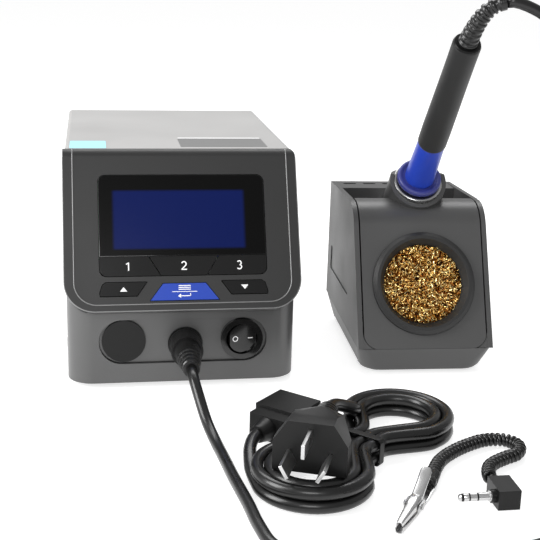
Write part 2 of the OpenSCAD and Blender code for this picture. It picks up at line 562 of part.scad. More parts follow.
module cable_coil() color([0.1, 0.1, 0.1]) translate([coil_c[0], coil_c[1], 0.1]) ring(coil_r + cable_d / 2, coil_r - cable_d / 2, 22.2);

// ------------------------------------------------------ mains lead
hank_c = [74, -97];
hank_a = 45;
hank_u = 38;              // from the middle to each lobe's centre
hank_r = 28;              // outer radius of the lobes
hank_w = 2.1 * cord_d;    // half width where the tie pinches the strands
module hank_frame() translate([hank_c[0], hank_c[1], 0]) rotate([0, 0, hank_a]) children();
function lobe_arc(s, r, a1, n) = [for (i = [0:n]) let (a = (s > 0 ? 0 : 180) + a1 * (2 * i / n - 1)) [s * hank_u + r * cos(a), r * sin(a)]];
module mains_hank() color([0.08, 0.08, 0.08]) hank_frame() translate([0, 0, 0.6]) linear_extrude(2 * cord_d) difference() {
  polygon(concat([[9, -hank_w]], lobe_arc(1, hank_r, 126, 36), [[9, hank_w], [-9, hank_w]], lobe_arc(-1, hank_r, 126, 36), [[-9, -hank_w]]));
  for (s = [-1, 1]) polygon(concat([[s * 9.5, -s * 0.5]], lobe_arc(s, hank_r - 2 * cord_d, 120, 32), [[s * 9.5, s * 0.5]]));
}
tail_a = [[22.3, -126, 4], [21.8, -116, 4.4], [21.8, -106, 5.4], [23, -96, 7], [25.6, -88, 8], [29, -82.4, 8.1]];
tail_b = [[88, -72, 10], [82, -76, 14], [76, -79, 17.6], [70, -82, 20.6], [65, -86, 23], [61.6, -91, 24.2], [59.6, -95.6, 24.4]];
module mains_cord() color([0.08, 0.08, 0.08]) {
  tube(smooth(tail_a, 3), cord_d / 2, 8);
  tube(smooth(tail_b, 3), cord_d / 2, 8);
}
plug_at = [55.1, -106.4, 13.4];
plug_yaw = 158;
module plug_frame() translate(plug_at) rotate([0, 0, plug_yaw]) children();
module mains_plug() color([0.07, 0.07, 0.07]) plug_frame() {
  hull() {
    translate([0, 5, 11]) rotate([-90, 0, 0]) cylinder(r = 9, h = 1, $fn = 32);
    translate([-11, 12, 1]) cube([22, 8, 19]);
    translate([-16.5, 24, 0]) cube([33, 8.6, 14]);
    translate([-10, 24, 0]) cube([20, 8.6, 23.5]);
  }
  translate([0, 5.4, 11]) rotate([90, 0, 0]) cylinder(r1 = 6, r2 = 4.1, h = 17);
}
module plug_pins() color([0.8, 0.8, 0.78]) plug_frame() {
  for (s = [-1, 1]) translate([s * 7.9, 32.6, 7.5]) rotate([0, s * 30, 0]) translate([-0.8, 0, -3.2]) cube([1.6, 17, 6.4]);
  translate([-0.8, 32.6, 14.4]) cube([1.6, 17, 6.4]);
}
conn_at = [36.4, -74.8];
conn_yaw = 47;
module conn_frame() translate([conn_at[0], conn_at[1], 0]) rotate([0, 0, conn_yaw - 90]) children();
module mains_connector() color([0.07, 0.07, 0.07]) conn_frame() difference() {
  union() {
    translate([-12, 4, 0.3]) cube([24, 22, 15.6]);
    translate([-10, -4, 1.8]) cube([20, 8.2, 12.6]);
    translate([0, -3.8, 8]) rotate([90, 0, 0]) cylinder(r1 = 6, r2 = 4.2, h = 8);
  }
  for (p = [[-7, 6.4], [0, 10.4], [7, 6.4]]) translate([p[0] - 1.1, 14, p[1] - 2.2]) cube([2.2, 14, 4.4]);
}
module cord_tie() color([0.1, 0.1, 0.1]) hank_frame() translate([0, 0, 0.6 + cord_d]) rotate([90, 0, 90]) difference() {
  linear_extrude(4, center = true) rrect(2 * hank_w + 1.2, 2 * cord_d + 1.1, 2);
  linear_extrude(6, center = true) rrect(2 * hank_w + 0.1, 2 * cord_d + 0.1, 1.5);
}

// ------------------------------------------------------ ground lead
lead_pts = [[100, -131, 4.5], [104, -122, 4], [110, -112, 4], [118, -104, 4], [128, -97, 4], [139, -92, 4], [149, -93, 4], [153, -100, 4], [149, -108, 4],
  [140, -113, 4], [132, -119, 4], [128, -128, 4], [128, -137, 5]];
module ground_lead() color([0.1, 0.1, 0.1]) tube(smooth(lead_pts, 2), curl_d / 2, 8);
clip_at = [100, -131];
clip_yaw = -124;
module clip_frame() translate([clip_at[0], clip_at[1], 4.5]) rotate([0, 0, clip_yaw]) children();
// Lower jaw with the insulating sleeve; x runs towards the teeth.
module clip_body() color([0.75, 0.75, 0.73]) clip_frame() difference() {
  union() {
    translate([1, -3.5, -4.3]) cube([20, 7, 2.6]);
    translate([20.5, -3, -4.3]) cube([8, 6, 1]);
    translate([28, -2.6, -4.3]) cube([17, 5.2, 2.2]);
    for (s = [-1, 1]) translate([22.5, s * 3.5 - 0.5, -4.3]) cube([6, 1, 6.5]);
    translate([0.4, 0, 0]) rotate([0, 90, 0]) cylinder(r = 2.6, h = 4);
    for (i = [0:5]) translate([31 + i * 2.4, -2.6, -2.2]) cube([1, 5.2, 0.8]);
  }
  translate([25.5, 0, 0]) rotate([90, 0, 0]) cylinder(r = 1.05, h = 12, center = true);
}
module clip_jaw() color([0.75, 0.75, 0.73]) clip_frame() {
  difference() {
    union() {
      translate([28, -2.6, -0.9]) cube([17, 5.2, 2]);
      translate([22, -2.6, -1.2]) cube([7, 5.2, 4]);
      translate([23.5, 0, 1]) rotate([0, -60, 0]) translate([-1.2, -2.5, 0]) cube([2.4, 5, 17]);
    }
  }
  translate([25.5, 0, 0]) rotate([90, 0, 0]) cylinder(r = 1, h = 8, center = true);
}
gp_at = [128, -143];
module ground_plug() color([0.1, 0.1, 0.1]) translate([gp_at[0], gp_at[1], 0]) {
  translate([-5, -11, 0.3]) cube([10, 15, 9]);
  translate([0, 3.9, 5]) rotate([-90, 0, 0]) cylinder(r1 = 3.4, r2 = 2.6, h = 4);
  translate([-5, -6, 4.8]) rotate([0, -90, 0]) { cylinder(r = 3, h = 2); cylinder(r = 1.75, h = 15); translate([0, 0, 15]) cylinder(r1 = 1.75, r2 = 0.7, h = 1.6); }
}

// ------------------------------------------------------------ output
module place() translate([-org[0], -org[1], 0]) children();
place() base_chassis();
place() top_cover();
place() rear_panel();
place() front_housing();
place() panel_plate();
place() display_window();
place() lcd_module();
place() display_board();
place() key_1();
place() key_2();
place() key_3();
place() key_up();
place() key_down();
place() key_menu();
place() key_mat();
place() port_plate();
place() blank_cap();
place() iron_socket();
place() switch_housing();
place() switch_rocker();
place() main_board();
place() board_capacitors();
place() transformer_core();
place() transformer_coil();
place() heat_sink();
place() mains_inlet();
place() inlet_pins();
place() fuse_drawer();
place() fuse();
place() ground_jack();
place() station_feet();
place() cover_screws();
place() stand_body();
place() stand_cover();
place() stand_base();
place() holder_tube();
place() ballast_plate();
place() stand_feet();
place() stand_screws();
place() cleaner_cup();
place() brass_wool();
place() iron_plug();
place() plug_boot();
place() iron_cable();
place() cable_coil();
place() iron_flange();
place() iron_nose();
place() iron_grip();
place() iron_boot();
place() iron_tip();
place() mains_hank();
place() mains_cord();
place() mains_plug();
place() plug_pins();
place() mains_connector();
place() cord_tie();
place() ground_lead();
place() clip_body();
place() clip_jaw();
place() ground_plug();
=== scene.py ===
import bpy, bmesh, math, random, json
import numpy as np
from mathutils import Vector, Matrix


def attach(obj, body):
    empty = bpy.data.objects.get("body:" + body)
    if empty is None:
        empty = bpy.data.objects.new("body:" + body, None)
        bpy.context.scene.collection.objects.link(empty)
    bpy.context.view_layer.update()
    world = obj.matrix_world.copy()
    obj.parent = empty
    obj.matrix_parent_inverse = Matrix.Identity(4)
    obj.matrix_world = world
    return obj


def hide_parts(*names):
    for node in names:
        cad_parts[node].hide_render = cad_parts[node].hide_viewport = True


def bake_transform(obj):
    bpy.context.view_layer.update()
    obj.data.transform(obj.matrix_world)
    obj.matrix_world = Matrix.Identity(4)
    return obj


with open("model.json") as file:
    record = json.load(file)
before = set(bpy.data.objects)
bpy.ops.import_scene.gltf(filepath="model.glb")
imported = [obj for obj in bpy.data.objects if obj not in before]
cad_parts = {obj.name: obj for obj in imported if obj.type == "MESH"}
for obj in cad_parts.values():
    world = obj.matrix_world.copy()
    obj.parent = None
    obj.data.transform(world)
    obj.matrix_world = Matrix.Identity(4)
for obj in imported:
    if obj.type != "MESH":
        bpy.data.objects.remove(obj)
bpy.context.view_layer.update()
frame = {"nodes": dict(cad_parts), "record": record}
N = frame["nodes"]
random.seed(7)

# ------------------------------------------------------------------ frame
# Control-unit axes in millimetres -> row frame in metres.
OX, OY = 58.65, 66.75


def S(p):
    return Vector(((p[0] - OX) / 1000, (p[1] - OY) / 1000, p[2] / 1000))


SX, SY, YAW = 136.7, 2.5, math.radians(2.6)


def ST(p):
    """Stand axes to control-unit axes, both in mm."""
    c, s = math.cos(YAW), math.sin(YAW)
    return [SX + p[0] * c + p[1] * s, SY - p[0] * s + p[1] * c, p[2]]


def frame_matrix(origin, xa, ya, za):
    """Local millimetres along three axes at an origin in metres."""
    m = Matrix.Identity(4)
    for i, a in enumerate((xa, ya, za)):
        a = Vector(a).normalized() * 0.001
        for r in range(3):
            m[r][i] = a[r]
    for r in range(3):
        m[r][3] = origin[r]
    return m


PA = math.radians(64)
PANEL = frame_matrix(S((0, -10, 47)), (1, 0, 0), (0, math.cos(PA), math.sin(PA)), (0, -math.sin(PA), math.cos(PA)))


def st_dir(v):
    c, s = math.cos(YAW), math.sin(YAW)
    return Vector((v[0] * c + v[1] * s, -v[0] * s + v[1] * c, v[2]))


IA = math.radians(42.5)
IRON = frame_matrix(S(ST((1, 42.5, 105.8))), st_dir((1, 0, 0)), st_dir((0, math.cos(IA), math.sin(IA))), st_dir((0, -math.sin(IA), math.cos(IA))))
LA = math.radians(25.7)
PLATE = frame_matrix(S(ST((0, -2, 17.2))), st_dir((1, 0, 0)), st_dir((0, math.sin(LA), math.cos(LA))), st_dir((0, -math.cos(LA), math.sin(LA))))
SMAT = frame_matrix(S((0, 0, 0)), (1, 0, 0), (0, 1, 0), (0, 0, 1))
STAND = frame_matrix(S(ST((0, 0, 0))), st_dir((1, 0, 0)), st_dir((0, 1, 0)), (0, 0, 1))

# ----------------------------------------------------------------- camera
PITCH, CYAW, ROLL = 0.2817, 0.1656, 0.0284
fwd = Vector((math.sin(CYAW) * math.cos(PITCH), math.cos(CYAW) * math.cos(PITCH), -math.sin(PITCH)))
right = Vector((math.cos(CYAW), -math.sin(CYAW), 0))
up = right.cross(fwd)
r2 = math.cos(ROLL) * right + math.sin(ROLL) * up
u2 = -math.sin(ROLL) * right + math.cos(ROLL) * up
cam_data = bpy.data.cameras.new("camera")
cam = bpy.data.objects.new("camera", cam_data)
bpy.context.scene.collection.objects.link(cam)
cam_data.sensor_width = 36
cam_data.lens = 36 * 1094.6 / 540
cam_data.clip_start, cam_data.clip_end = 0.01, 50
m = Matrix.Identity(4)
for r in range(3):
    m[r][0], m[r][1], m[r][2] = r2[r], u2[r], -fwd[r]
m.translation = S((-46.86, -556.59, 228.41))
cam.matrix_world = m
bpy.context.scene.camera = cam


# -------------------------------------------------------------- materials
def lin(c):
    return [(x / 12.92 if x <= 0.04045 else ((x + 0.055) / 1.055) ** 2.4) for x in c]


def grey(v, warm=0.0):
    v = v / 255
    return (v * (1 + warm), v, v * (1 - warm))


def material(name, color, rough, metallic=0.0, noise=400.0, vary=0.06, bump=0.02, bump_scale=None, coat=0.0, coat_rough=0.1,
             rough_vary=0.06, spec=0.5, edge=0.0, streak=None, sheen=0.0):
    """Moulded, painted or plated finish: fine grain in bump, soft variation in colour and roughness."""
    mt = bpy.data.materials.new(name)
    mt.use_nodes = True
    nt = mt.node_tree
    b = nt.nodes["Principled BSDF"]
    c = lin(color)
    b.inputs["Base Color"].default_value = (*c, 1)
    b.inputs["Metallic"].default_value = metallic
    b.inputs["Roughness"].default_value = rough
    b.inputs["Specular IOR Level"].default_value = spec
    b.inputs["Coat Weight"].default_value = coat
    b.inputs["Coat Roughness"].default_value = coat_rough
    if sheen:
        b.inputs["Sheen Weight"].default_value = sheen
    tc = nt.nodes.new("ShaderNodeTexCoord")
    co = tc.outputs["Object"]
    if streak:
        mp = nt.nodes.new("ShaderNodeMapping")
        mp.inputs["Scale"].default_value = streak
        nt.links.new(co, mp.inputs["Vector"])
        co = mp.outputs["Vector"]
    n1 = nt.nodes.new("ShaderNodeTexNoise")
    n1.inputs["Scale"].default_value = noise * 0.09
    n1.inputs["Detail"].default_value = 4
    nt.links.new(co, n1.inputs["Vector"])
    ramp = nt.nodes.new("ShaderNodeMapRange")
    ramp.inputs["From Min"].default_value = 0.3
    ramp.inputs["From Max"].default_value = 0.7
    ramp.inputs["To Min"].default_value = 0.0
    ramp.inputs["To Max"].default_value = 1.0
    nt.links.new(n1.outputs["Fac"], ramp.inputs["Value"])
    mix = nt.nodes.new("ShaderNodeMix")
    mix.data_type = "RGBA"
    mix.inputs["A"].default_value = (*[x * (1 - vary) for x in c], 1)
    mix.inputs["B"].default_value = (*[min(1, x * (1 + vary)) for x in c], 1)
    nt.links.new(ramp.outputs["Result"], mix.inputs["Factor"])
    nt.links.new(mix.outputs["Result"], b.inputs["Base Color"])
    rr = nt.nodes.new("ShaderNodeMapRange")
    rr.inputs["From Min"].default_value = 0.25
    rr.inputs["From Max"].default_value = 0.75
    rr.inputs["To Min"].default_value = max(0.02, rough - rough_vary)
    rr.inputs["To Max"].default_value = min(1, rough + rough_vary)
    nt.links.new(n1.outputs["Fac"], rr.inputs["Value"])
    nt.links.new(rr.outputs["Result"], b.inputs["Roughness"])
    if bump:
        n2 = nt.nodes.new("ShaderNodeTexNoise")
        n2.inputs["Scale"].default_value = bump_scale or noise * 8
        n2.inputs["Detail"].default_value = 3
        nt.links.new(co, n2.inputs["Vector"])
        bp = nt.nodes.new("ShaderNodeBump")
        bp.inputs["Strength"].default_value = 0.35
        bp.inputs["Distance"].default_value = bump / 1000
        nt.links.new(n2.outputs["Fac"], bp.inputs["Height"])
        nt.links.new(bp.outputs["Normal"], b.inputs["Normal"])
    return mt


M = {
    "body_grey": material("body_grey", grey(90), 0.36, noise=300, vary=0.04, bump=0.03, bump_scale=2600, metallic=0.4),
    "panel_grey": material("panel_grey", grey(42), 0.45, noise=300, vary=0.04, bump=0.03, bump_scale=2600, metallic=0.25, spec=0.35),
    "case_metal": material("case_metal", grey(156, 0.005), 0.5, noise=260, vary=0.03, bump=0.05, bump_scale=1800, metallic=0.1),
    "dark_metal": material("dark_metal", grey(104), 0.5, noise=260, vary=0.04, bump=0.05, bump_scale=1800, metallic=0.2),
    "black_plastic": material("black_plastic", grey(13), 0.38, noise=300, vary=0.08, bump=0.03, bump_scale=3000, spec=0.28),
    "key_black": material("key_black", grey(12), 0.4, noise=300, vary=0.06, bump=0.02, bump_scale=3000, spec=0.15),
    "gloss_black": material("gloss_black", grey(17), 0.12, noise=200, vary=0.1, bump=0.004, rough_vary=0.03, coat=0.4, coat_rough=0.05),
    "menu_blue": material("menu_blue", (0.06, 0.22, 0.62), 0.42, noise=260, vary=0.05, bump=0.02, spec=0.35),
    "lcd_blue": material("lcd_blue", (0.08, 0.12, 0.36), 0.2, noise=200, vary=0.06, bump=0.0),
    "board_green": material("board_green", (0.08, 0.36, 0.2), 0.35, noise=500, vary=0.2, bump=0.05),
    "winding": material("winding", (0.8, 0.62, 0.22), 0.45, noise=500, vary=0.2, bump=0.08),
    "core_iron": material("core_iron", grey(84), 0.55, noise=600, vary=0.2, bump=0.08, metallic=0.5, streak=(1, 18, 1)),
    "sink_alu": material("sink_alu", grey(190), 0.35, metallic=1.0, noise=500, vary=0.06, bump=0.03, streak=(1, 1, 12)),
    "steel": material("steel", grey(170), 0.28, metallic=1.0, noise=500, vary=0.08, bump=0.02, streak=(8, 1, 1)),
    "chrome": material("chrome", grey(196), 0.3, metallic=1.0, noise=500, vary=0.08, bump=0.01, rough_vary=0.06),
    "glass_clear": material("glass_clear", grey(225), 0.08, noise=200, vary=0.02, bump=0.0),
    "foot_rubber": material("foot_rubber", grey(36), 0.75, noise=500, vary=0.15, bump=0.06),
    "mat_rubber": material("mat_rubber", grey(140), 0.7, noise=400, vary=0.08, bump=0.04),
    "cord_black": material("cord_black", grey(13), 0.3, noise=500, vary=0.12, bump=0.015, rough_vary=0.06, coat=0.15, coat_rough=0.15, spec=0.4),
    "iron_blue": material("iron_blue", (0.11, 0.22, 0.62), 0.36, noise=400, vary=0.06, bump=0.02, bump_scale=3000),
    "flange_blue": material("flange_blue", (0.17, 0.19, 0.44), 0.34, noise=400, vary=0.06, bump=0.02, bump_scale=3000),
    "grip_black": material("grip_black", grey(16), 0.55, noise=500, vary=0.08, bump=0.05, bump_scale=3600, sheen=0.08, spec=0.35),
    "brass": material("brass", (0.86, 0.62, 0.3), 0.22, metallic=1.0, noise=3000, vary=0.35, bump=0.01, rough_vary=0.1),
    "tip_steel": material("tip_steel", grey(180), 0.25, metallic=1.0, noise=500, vary=0.1, bump=0.01),
    # light grey for thin tubes that are painted highlights on edges
    "painted_highlight": material("painted_highlight", grey(122), 0.36, metallic=0.3, noise=200, vary=0.05, bump=0.0),
    "stand_grey": material("stand_grey", grey(72), 0.42, noise=300, vary=0.04, bump=0.03, bump_scale=2600, metallic=0.3),
    "ring_grey": material("ring_grey", grey(34), 0.45, noise=300, vary=0.06, bump=0.03, bump_scale=3000, spec=0.38),
    "white_print": material("white_print", grey(236), 0.5, noise=400, vary=0.02, bump=0.0),
}

REC = frame["record"]
SLOT_OF = {s["node"]: s["material_slot"] for s in REC["subparts"]}


def dress(o, mname):
    o.data.materials.clear()
    o.data.materials.append(M[mname])


for n, o in N.items():
    dress(o, SLOT_OF.get(n, "body_grey"))
dress(N["iron_flange"], "flange_blue")
dress(N["stand_cover"], "stand_grey")
dress(N["stand_body"], "stand_grey")
dress(N["stand_base"], "stand_grey")
dress(N["cleaner_cup"], "ring_grey")


# ---------------------------------------------------------------- helpers
def link(o):
    bpy.context.scene.collection.objects.link(o)
    return o


def mesh_object(name, verts, faces, mname=None, smooth=True, matrix=None):
    me = bpy.data.meshes.new(name)
    me.from_pydata([tuple(v) for v in verts], [], faces)
    me.update()
    if smooth:
        me.polygons.foreach_set("use_smooth", [True] * len(me.polygons))
    o = link(bpy.data.objects.new(name, me))
    if matrix is not None:
        o.matrix_world = matrix
    if mname:
        dress(o, mname)
    return o


def finish_piece(o, body, mname=None, repl=()):
    if mname:
        dress(o, mname)
    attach(o, body)
    if repl:
        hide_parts(*repl)
    return o


def catmull(pts, n):
    P = [Vector(p) for p in pts]
    out = []
    for i in range(len(P) - 1):
        a, b, c, d = P[max(i - 1, 0)], P[i], P[i + 1], P[min(i + 2, len(P) - 1)]
        for k in range(n):
            t = k / n
            out.append(0.5 * ((2 * b) + (c - a) * t + (2 * a - 5 * b + 4 * c - d) * t * t + (3 * b - a - 3 * c + d) * t ** 3))
    out.append(P[-1])
    return out


def resample(pts, step):
    """Points a step apart along a polyline, ends kept."""
    L = [0.0]
    for a, b in zip(pts, pts[1:]):
        L.append(L[-1] + (b - a).length)
    n = max(2, round(L[-1] / step))
    out, j = [], 0
    for k in range(n + 1):
        d = L[-1] * k / n
        while j < len(pts) - 2 and L[j + 1] < d:
            j += 1
        seg = L[j + 1] - L[j]
        out.append(pts[j].lerp(pts[j + 1], 0 if seg < 1e-9 else min(1, (d - L[j]) / seg)))
    return out


def length(pts):
    return sum((b - a).length for a, b in zip(pts, pts[1:]))


def tube_mesh(name, pts, radius, sides=16, mname=None, caps=True):
    """Round tube along points; radius is a number or a function of (index, share of length)."""
    n = len(pts)
    T = [(pts[min(i + 1, n - 1)] - pts[max(i - 1, 0)]).normalized() for i in range(n)]
    ref = Vector((0, 0, 1)) if abs(T[0].z) < 0.9 else Vector((1, 0, 0))
    nrm = T[0].cross(ref).normalized()
    verts, faces = [], []
    for i in range(n):
        nrm = (nrm - T[i] * nrm.dot(T[i])).normalized()
        bn = T[i].cross(nrm)
        r = radius(i, i / (n - 1)) if callable(radius) else radius
        for k in range(sides):
            a = 2 * math.pi * k / sides
            verts.append(pts[i] + nrm * (r * math.cos(a)) + bn * (r * math.sin(a)))
    for i in range(n - 1):
        for k in range(sides):
            a, b = i * sides + k, i * sides + (k + 1) % sides
            faces.append((a, b, b + sides, a + sides))
    if caps:
        faces.append(tuple(range(sides - 1, -1, -1)))
        faces.append(tuple((n - 1) * sides + k for k in range(sides)))
    return mesh_object(name, verts, faces, mname)


def lathe(name, profile, matrix, mname, sides=64, sharp=0.6):
    """Revolves (r, z) millimetre pairs about local Z."""
    verts, faces = [], []
    n = len(profile)
    for r, z in profile:
        for k in range(sides):
            a = 2 * math.pi * k / sides
            verts.append((r * math.cos(a), r * math.sin(a), z))
    for i in range(n - 1):
        for k in range(sides):
            a, b = i * sides + k, i * sides + (k + 1) % sides
            faces.append((a, b, b + sides, a + sides))
    if profile[0][0] > 1e-6:
        faces.append(tuple(range(sides - 1, -1, -1)))
    if profile[-1][0] > 1e-6:
        faces.append(tuple((n - 1) * sides + k for k in range(sides)))
    o = mesh_object(name, verts, faces, mname, matrix=matrix)
    bm = bmesh.new()
    bm.from_mesh(o.data)
    bmesh.ops.remove_doubles(bm, verts=bm.verts, dist=1e-6)
    for e in bm.edges:
        if len(e.link_faces) == 2 and e.calc_face_angle(0) > sharp:
            e.smooth = False
    bmesh.ops.recalc_face_normals(bm, faces=bm.faces)
    bm.to_mesh(o.data)
    bm.free()
    return o


def apply_matrix(o):
    """Bakes the object's matrix into its mesh, so that the piece is in row-frame metres."""
    o.data.transform(o.matrix_world)
    o.matrix_world = Matrix.Identity(4)
    return o


def soften(o, width, angle=35, segments=2):
    """Small rounded edges on a CAD node, by modifiers only."""
    w = o.modifiers.new("weld", "WELD")
    w.merge_threshold = 0.000004
    b = o.modifiers.new("bevel", "BEVEL")
    b.width = width / 1000
    b.segments = segments
    b.limit_method = "ANGLE"
    b.angle_limit = math.radians(angle)
    b.harden_normals = False
    b.use_clamp_overlap = True
    return o


# ------------------------------------------------------------- iron cable
CABLE_R = 2.75
up_local = [(14.5, -47.6, 209), (19, -47.8, 209.1), (26, -48, 207), (34, -48, 203), (42, -48, 196), (48, -48, 186), (52, -48, 172)]
up_pts = [ST(p) for p in up_local] + [(193, -48, 150), (196, -50, 120), (199, -54, 90), (204, -61, 60), (213, -72, 38), (222, -86, 25), (227, -105, 20), (228, -125, 19.5)]
low_pts = [(200, -153, 2.8), (188, -153.5, 2.8), (176, -157, 2.8), (164, -165, 2.8), (150, -176, 2.8), (132, -186, 2.8), (108, -192, 2.8), (80, -195, 2.8),
           (54, -195, 2.8), (34, -189, 2.8), (22, -177, 2.8), (18, -160, 2.8), (16, -140, 2.8), (13, -116, 2.8), (11, -96, 2.8), (9, -80, 3.4), (6, -66, 8), (3, -54, 17), (1.2, -45, 23), (1, -38, 24.2)]


def step01(t):
    t = min(1, max(0, t))
    return t * t * (3 - 2 * t)


coil = []
for k in range(1, 118):
    ph = 10.0 * k
    if ph >= 1168:
        break
    z = 19.5
    for j in range(3):
        z -= 5.566 * step01((ph - (290 + 360 * j)) / 70)
    a = math.radians(-ph)
    coil.append(Vector((200 + 28 * math.cos(a), -125 + 28 * math.sin(a), z)))
route = catmull(up_pts, 8)[:-1] + [Vector(up_pts[-1])] + coil + catmull(low_pts, 8)
route = resample([S(p) for p in route], 0.0035)
cable = tube_mesh("iron_cable_flex", route, CABLE_R / 1000, 14, "cord_black")
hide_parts("iron_cable", "cable_coil")

# --------------------------------------------------------------- mains lead
CORD_R = 3.1
HC, HA = (74, -97), math.radians(45)


def H(u, v, z):
    c, s = math.cos(HA), math.sin(HA)
    return Vector((HC[0] + u * c - v * s, HC[1] + u * s + v * c, z))


ZL = (3.75, 9.95)
slots = {"oL": (24.9, 9.9, ZL[0]), "iL": (18.7, 3.7, ZL[0]), "iH": (18.7, 3.7, ZL[1]), "oH": (24.9, 9.9, ZL[1])}


def lobe(side, slot, a0, a1, step=16):
    r, v, z = slots[slot]
    n = max(2, round(abs(a1 - a0) / step))
    return [H(side * 38 + r * math.cos(math.radians(a0 + (a1 - a0) * k / n)), r * math.sin(math.radians(a0 + (a1 - a0) * k / n)), z) for k in range(n + 1)]


def waist(slot, sgn, us):
    r, v, z = slots[slot]
    return [H(u, sgn * v, z) for u in us]


hank = []
hank += lobe(-1, "oL", 135, 298)
order = [("oL", "iL"), ("iL", "iH"), ("iH", "oH"), ("oH", None)]
left = "oL"
for rs, nxt in order:
    hank += waist(left, -1, (-10, 0)) + waist(rs, -1, (10,))
    hank += lobe(1, rs, -118, 118)
    if nxt:
        hank += waist(rs, 1, (10,)) + waist(nxt, 1, (-10,))
        hank += lobe(-1, nxt, 62, 298)
        left = nxt
tail_a = [(29, -82.4, 8.1), (25.6, -88, 8), (23, -96, 7), (21.8, -106, 5.4), (21.4, -113, 4.4)]
tail_b = [H(26, 17.5, 11.2), H(20, 14.0, 14.6), (76, -79, 17.8), (70, -82, 20.6), (65, -86, 23), (61.6, -91, 24.2), (59.6, -95.6, 24.4)]
mains_pts = catmull([Vector(p) for p in tail_a] + hank + [Vector(p) for p in tail_b], 5)
mains_pts = resample(mains_pts, 3.2)


def curve_cord(name, pts, r, mname):
    cu = bpy.data.curves.new(name, "CURVE")
    cu.dimensions = "3D"
    sp = cu.splines.new("POLY")
    sp.points.add(len(pts) - 1)
    for i, p in enumerate(pts):
        sp.points[i].co = (*p, 1)
    cu.bevel_depth = r
    cu.bevel_resolution = 4
    cu.use_fill_caps = True
    sp.use_smooth = True
    o = link(bpy.data.objects.new(name, cu))
    o.data.materials.append(M[mname])
    return o


mains = curve_cord("mains_lead_flex", [S(p) for p in mains_pts], CORD_R / 1000, "cord_black")
finish_piece(mains, "root", None, ("mains_hank", "mains_cord"))

# -------------------------------------------------------------- ground lead
lead_axis = catmull([(100, -131, 4.5), (104, -122, 4), (110, -112, 4), (118, -104, 4), (128, -97, 4), (139, -92, 4), (149, -93, 4), (153, -100, 4), (149, -108, 4),
                     (140, -113, 4), (132, -119, 4), (128, -128, 4), (128, -137, 5)], 10)
lead_axis = resample(lead_axis, 1.0)
LR, WR, PITCHMM = 2.35, 1.1, 2.5
n_ax = len(lead_axis)
Ltot = length(lead_axis)
T = [(lead_axis[min(i + 1, n_ax - 1)] - lead_axis[max(i - 1, 0)]).normalized() for i in range(n_ax)]
nrm = T[0].cross(Vector((0, 0, 1))).normalized()
frames = []
for i in range(n_ax):
    nrm = (nrm - T[i] * nrm.dot(T[i])).normalized()
    frames.append((lead_axis[i], T[i], nrm.copy(), T[i].cross(nrm)))
turns = (Ltot - 9) / PITCHMM
helix = []
per = 14
total = int(turns * per)
for k in range(total + 1):
    d = 4.5 + (Ltot - 9) * k / total
    f = d / Ltot * (n_ax - 1)
    i = min(n_ax - 2, int(f))
    w = f - i
    p = frames[i][0].lerp(frames[i + 1][0], w)
    a = 2 * math.pi * k / per
    nn, bb = frames[i][2].lerp(frames[i + 1][2], w), frames[i][3].lerp(frames[i + 1][3], w)
    rr = LR * step01(min(k, total - k) / per)
    q = p + nn * (rr * math.cos(a)) + bb * (rr * math.sin(a))
    helix.append(q)
helix = [lead_axis[0], lead_axis[2]] + helix + [lead_axis[-3], lead_axis[-1]]
helix = [S(p) for p in helix]
lead = tube_mesh("ground_lead_curl", helix, WR / 1000, 7, "cord_black")
finish_piece(lead, "root", None, ("ground_lead",))

# ------------------------------------------------------------- iron's boot
boot_axis = [(1, -29.9, 184.8), (1, -33.2, 188.4), (1.6, -38.2, 193.9), (3, -42.3, 199.2), (5.5, -45.3, 204), (9.5, -47, 207.5), (14, -47.6, 208.9)]
boot_line = resample([S(ST(p)) for p in catmull(boot_axis, 12)], 0.00033)


def boot_radius(i, t):
    base = 5.35 - 1.7 * t
    if t < 0.1 or t > 0.95:
        return base / 1000
    w = math.sin(2 * math.pi * 9 * (t - 0.1) / 0.85)
    return (base - 0.85 * step01(0.5 + 1.1 * w)) / 1000


boot = tube_mesh("iron_boot_ribbed", boot_line, boot_radius, 28, "cord_black")
finish_piece(boot, "iron", "cord_black", ("iron_boot",))
# collar ring where the boot leaves the grip
ring_a = lathe("grip_end_ring", [(5.6, 110.4), (6.5, 110.4), (6.9, 110.9), (6.9, 112.2), (6.4, 112.8), (5.3, 112.9)], IRON, "key_black", 48)
finish_piece(ring_a, "iron")

holder_ring = lathe("holder_ring", [(12.7, -3.5), (14.0, -3.5), (14.05, -3.2), (13.6, -2.9), (12.9, -2.9), (12.7, -3.2), (12.7, -3.5)], IRON, "steel", 64)
finish_piece(holder_ring, "root")

